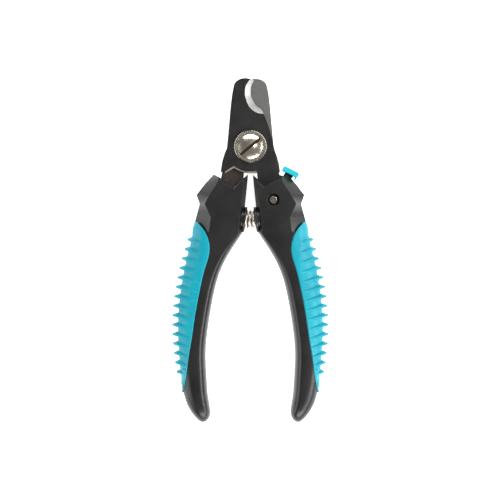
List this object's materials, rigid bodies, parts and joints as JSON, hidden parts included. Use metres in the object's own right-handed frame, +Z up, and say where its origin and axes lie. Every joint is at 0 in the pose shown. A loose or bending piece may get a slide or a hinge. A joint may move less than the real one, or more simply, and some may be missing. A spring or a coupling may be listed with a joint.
{
  "type": "pet nail clipper",
  "caption": "Plier-type pet nail clipper: two hooked blades on a pivot, sprung ribbed-grip handles and a pivoting thumb lock.",
  "frame": {"origin": "pivot axis at the plane the clipper lies on", "axes": "+Y towards the blade tips, +X towards the handle with the lock, +Z up, out of the front face with the slotted pivot head"},
  "size_m": [0.0688, 0.1503, 0.0134],
  "materials": {
    "coated_steel": "black coated, satin; ground bevel bare",
    "nickel_steel": "nickel plated, turned",
    "spring_steel": "drawn wire, bright",
    "black_plastic": "moulded, fine matte texture",
    "turquoise_grip": "soft moulded, satin",
    "turquoise_plastic": "moulded, satin"
  },
  "bodies": {
    "left_half": {"rear_blade": "coated_steel", "left_front_shell": "black_plastic", "left_rear_shell": "black_plastic", "left_grip": "turquoise_grip", "left_spring_cup": "black_plastic", "left_handle_screw": "nickel_steel", "left_tang_pin": "spring_steel", "pivot_screw": "nickel_steel", "pivot_washer": "nickel_steel", "pivot_nut": "nickel_steel", "return_spring": "spring_steel"},
    "right_half": {"front_blade": "coated_steel", "right_front_shell": "black_plastic", "right_rear_shell": "black_plastic", "right_grip": "turquoise_grip", "right_spring_cup": "black_plastic", "right_handle_screw": "nickel_steel", "right_tang_pin": "spring_steel", "lock_washer": "spring_steel"},
    "lock": {"lock_lever": "coated_steel", "lock_tab": "turquoise_plastic"}
  },
  "joints": [
    {"name": "handles", "type": "hinge", "parent": "left_half", "child": "right_half", "pos_m": [0, 0, 0.00675], "axis": [0, 0, 1], "range_deg": [-3, 27], "stiffness_Nm_per_rad": 0.33, "springref_deg": 51.57, "deforming": ["return_spring"]},
    {"name": "lock_lever", "type": "hinge", "parent": "right_half", "child": "lock", "pos_m": [0.01005, -0.02325, 0.0055], "axis": [0, 0, 1], "range_deg": [-20, 6]}
  ]
}
